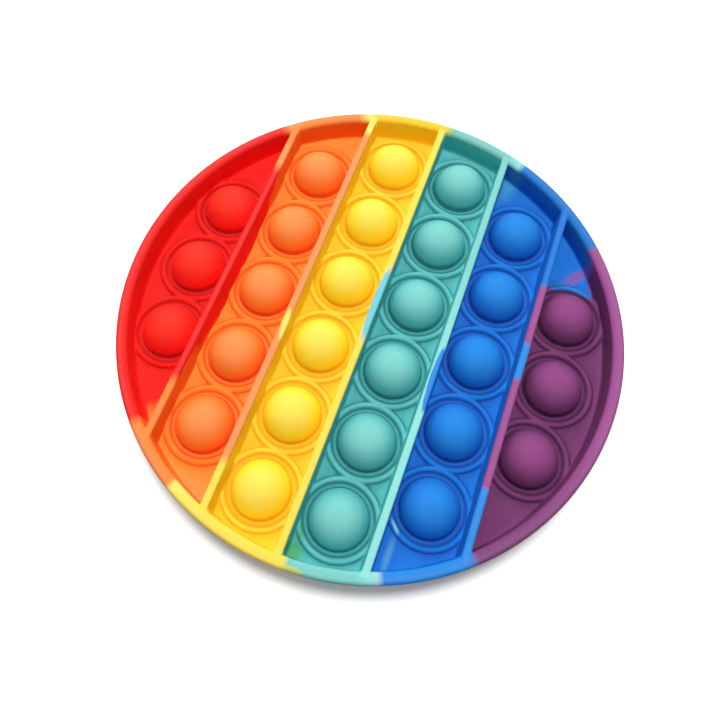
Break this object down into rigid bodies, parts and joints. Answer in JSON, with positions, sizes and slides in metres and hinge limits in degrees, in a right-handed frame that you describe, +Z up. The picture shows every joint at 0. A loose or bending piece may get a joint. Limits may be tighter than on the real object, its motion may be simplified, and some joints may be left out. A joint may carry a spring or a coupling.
{
  "type": "bubble pop fidget toy",
  "caption": "Round moulded silicone fidget toy: a thin web inside a raised rim, straight ribs between columns of hollow domed bubbles, open underneath",
  "frame": {"origin": "middle of the underside, on the surface that the rim rests on", "axes": "+Z up through the domes, +X across the columns of bubbles, +Y along the ribs"},
  "size_m": [0.125, 0.125, 0.015],
  "materials": {
    "silicone": "matte moulded silicone rubber in coloured bands"
  },
  "bodies": {
    "root": {"bubble_sheet": "silicone"}
  },
  "joints": []
}
